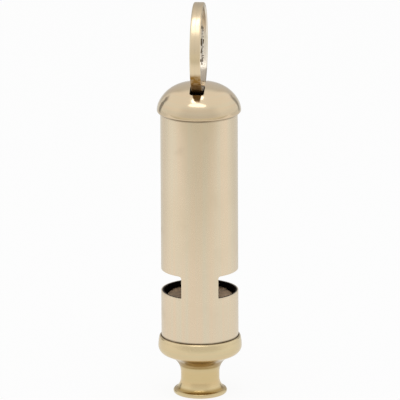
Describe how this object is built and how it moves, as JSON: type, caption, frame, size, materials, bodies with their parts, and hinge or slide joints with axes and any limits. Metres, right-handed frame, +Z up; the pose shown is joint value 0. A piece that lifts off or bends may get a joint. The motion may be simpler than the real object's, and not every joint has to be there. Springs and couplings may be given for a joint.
{
  "type": "police whistle",
  "caption": "Tubular brass whistle with side windows, a bulbed and flared mouthpiece, a domed cap and a split ring that swings in the cap's holes.",
  "frame": {"origin": "centre of the lip's flat end, at the bottom of the upright whistle", "axes": "+Z up the barrel from the lip to the ring, windows facing -X and +X, bridge of barrel wall facing -Y"},
  "size_m": [0.018, 0.0196, 0.086],
  "materials": {
    "barrel": "satin, drawn lengthwise",
    "mouthpiece": "polished, turned",
    "cap": "polished",
    "ring": "polished",
    "block": "dull, unpolished",
    "inner_sheet": "dull, unpolished"
  },
  "bodies": {
    "whistle": {"barrel_tube": "barrel", "mouthpiece": "mouthpiece", "septum_plate": "inner_sheet", "left_windway_block": "block", "left_tuning_stop": "inner_sheet", "right_windway_block": "block", "right_tuning_stop": "inner_sheet", "top_cap": "cap"},
    "ring": {"split_ring": "ring"}
  },
  "joints": [
    {"name": "ring_swing", "type": "hinge", "parent": "whistle", "child": "ring", "pos_m": [0, 0, 0.06772], "axis": [0.0872, 0.9962, 0], "range_deg": [-45, 45]}
  ]
}
